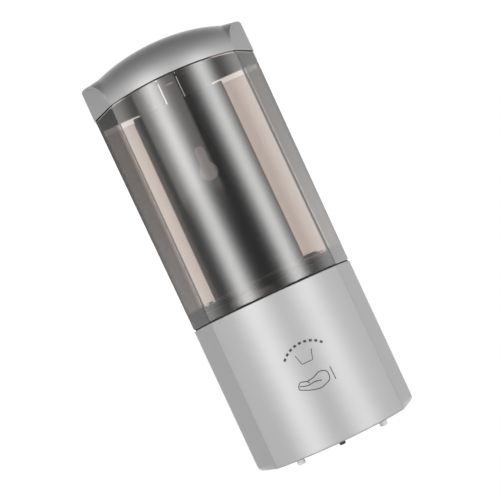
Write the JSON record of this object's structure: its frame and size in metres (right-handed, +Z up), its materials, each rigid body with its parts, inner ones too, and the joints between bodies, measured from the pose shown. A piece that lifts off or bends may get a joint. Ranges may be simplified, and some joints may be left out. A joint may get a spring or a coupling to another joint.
{
  "type": "wall mounted soap dispenser",
  "caption": "Sensor operated wall soap dispenser with a smoked clear tank, a hinged crowned lid and a silver base that holds a battery driven gear pump.",
  "frame": {"origin": "middle of the casing's lower back edge, on the wall plane", "axes": "+X to the user's right, +Y into the wall, +Z up"},
  "size_m": [0.11, 0.095, 0.2715],
  "materials": {
    "silver_shell": "satin silver finish on moulded plastic",
    "clear_tank": "smoked transparent plastic, polished",
    "dark_frame": "dark grey moulded plastic, fine grain",
    "deck_plastic": "dark grey moulded plastic",
    "soft_rubber": "soft black rubber",
    "clear_rubber": "translucent soft rubber",
    "steel": "zinc plated steel",
    "spring_steel": "nickel plated spring wire",
    "cell_jacket": "printed film jacket with a plain band",
    "contact_metal": "nickel plated brass strip",
    "gear_plastic": "natural acetal",
    "pump_plastic": "natural moulded plastic",
    "copper_winding": "varnished copper winding on a laminated core",
    "tube_silicone": "translucent silicone",
    "nozzle_plastic": "black moulded plastic",
    "sensor_plastic": "dark infrared window",
    "led_clear": "clear epoxy lens",
    "led_dark": "dark epoxy lens",
    "led_red": "tinted diffused lens",
    "circuit_board": "green solder mask",
    "chip_black": "moulded epoxy",
    "capacitor_sleeve": "sleeve with a pale stripe",
    "connector_plastic": "natural nylon",
    "wire_insulation": "soft insulation"
  },
  "bodies": {
    "casing": {"rear_frame": "dark_frame", "front_cover": "silver_shell", "cover_screws": "steel", "feet": "clear_rubber", "deck_plate": "deck_plastic", "deck_gasket": "soft_rubber", "deck_screws": "steel", "tank": "clear_tank", "tank_screws": "steel", "outlet_strainer": "pump_plastic", "outlet_seal": "soft_rubber", "lid_hinge_pin": "steel", "battery_box": "deck_plastic", "battery_cells": "cell_jacket", "battery_springs": "spring_steel", "battery_terminals": "contact_metal", "battery_door_pin": "steel", "pump_body": "pump_plastic", "pump_cover": "pump_plastic", "shaft_seal": "soft_rubber", "pump_screws": "steel", "pump_idler_shaft": "steel", "pump_bracket": "deck_plastic", "bracket_screws": "steel", "motor_can": "steel", "motor_end_cap": "gear_plastic", "motor_screws": "steel", "inlet_tube": "tube_silicone", "outlet_tube": "tube_silicone", "nozzle": "nozzle_plastic", "nozzle_valve": "clear_rubber", "sensor_window": "sensor_plastic", "sensor_shroud": "chip_black", "ir_emitter": "led_clear", "ir_receiver": "led_dark", "sensor_board": "circuit_board", "status_led": "led_red", "main_board": "circuit_board", "board_chip": "chip_black", "board_capacitor": "capacitor_sleeve", "board_connector": "connector_plastic", "board_screws": "steel", "power_switch_body": "chip_black", "motor_leads": "wire_insulation", "battery_leads": "wire_insulation"},
    "lid": {"lid_shell": "silver_shell"},
    "battery_door": {"battery_door": "dark_frame", "door_contacts": "contact_metal"},
    "power_switch": {"power_switch_slider": "pump_plastic"},
    "pump_drive": {"pump_drive_shaft": "steel", "pump_drive_gear": "gear_plastic", "reduction_gear": "gear_plastic"},
    "motor_rotor": {"motor_shaft": "steel", "motor_pinion": "contact_metal", "motor_armature": "copper_winding"},
    "pump_idler": {"pump_idler_gear": "gear_plastic"}
  },
  "joints": [
    {"name": "lid_hinge", "type": "hinge", "parent": "casing", "child": "lid", "pos_m": [0, -0.007, 0.26], "axis": [-1, 0, 0], "range_deg": [0, 85]},
    {"name": "battery_door_hinge", "type": "hinge", "parent": "casing", "child": "battery_door", "pos_m": [0, -0.027, 0.0014], "axis": [-1, 0, 0], "range_deg": [0, 95]},
    {"name": "power_switch_slide", "type": "slide", "parent": "casing", "child": "power_switch", "axis": [0, 1, 0], "range_m": [0, 0.003]},
    {"name": "pump_drive_spin", "type": "hinge", "parent": "casing", "child": "pump_drive", "pos_m": [0.0054, -0.056, 0.04], "axis": [0, 0, 1], "continuous": true},
    {"name": "motor_spin", "type": "hinge", "parent": "casing", "child": "motor_rotor", "pos_m": [0.0204, -0.056, 0.06], "axis": [0, 0, 1], "continuous": true},
    {"name": "pump_idler_spin", "type": "hinge", "parent": "casing", "child": "pump_idler", "pos_m": [-0.0054, -0.056, 0.031], "axis": [0, 0, 1], "continuous": true}
  ],
  "couplings": [
    {"joint": "motor_spin", "follows": "pump_drive_spin", "ratio": -3},
    {"joint": "pump_idler_spin", "follows": "pump_drive_spin", "ratio": -1}
  ]
}
